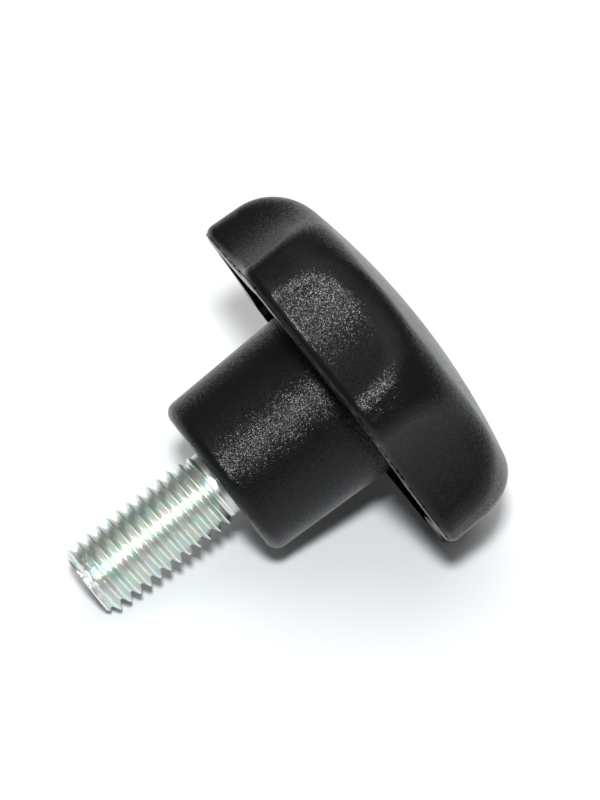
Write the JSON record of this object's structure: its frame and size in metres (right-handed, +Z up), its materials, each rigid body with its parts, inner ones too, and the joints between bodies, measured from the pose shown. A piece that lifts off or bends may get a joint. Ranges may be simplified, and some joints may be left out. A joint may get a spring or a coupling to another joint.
{
  "type": "lobed hand knob with threaded stud",
  "caption": "Lobed black plastic hand knob with a tall tapered hub, a hollow underside and a moulded-in M8 steel stud, lying on its side.",
  "frame": {"origin": "middle of the bounding box's underside, on the surface that the knob lies on", "axes": "+Z up; the knob's own axis lies in the XZ plane, with the crown towards +X and raised, and the stud's tip towards -X and down"},
  "size_m": [0.0444, 0.0402, 0.0372],
  "materials": {
    "knob_plastic": "black glass-filled nylon with a fine spark-eroded grain, a little shiny",
    "zinc_steel": "bright zinc plate with a faint iridescent passivation"
  },
  "bodies": {
    "root": {"knob_body": "knob_plastic", "threaded_stud": "zinc_steel"}
  },
  "joints": []
}
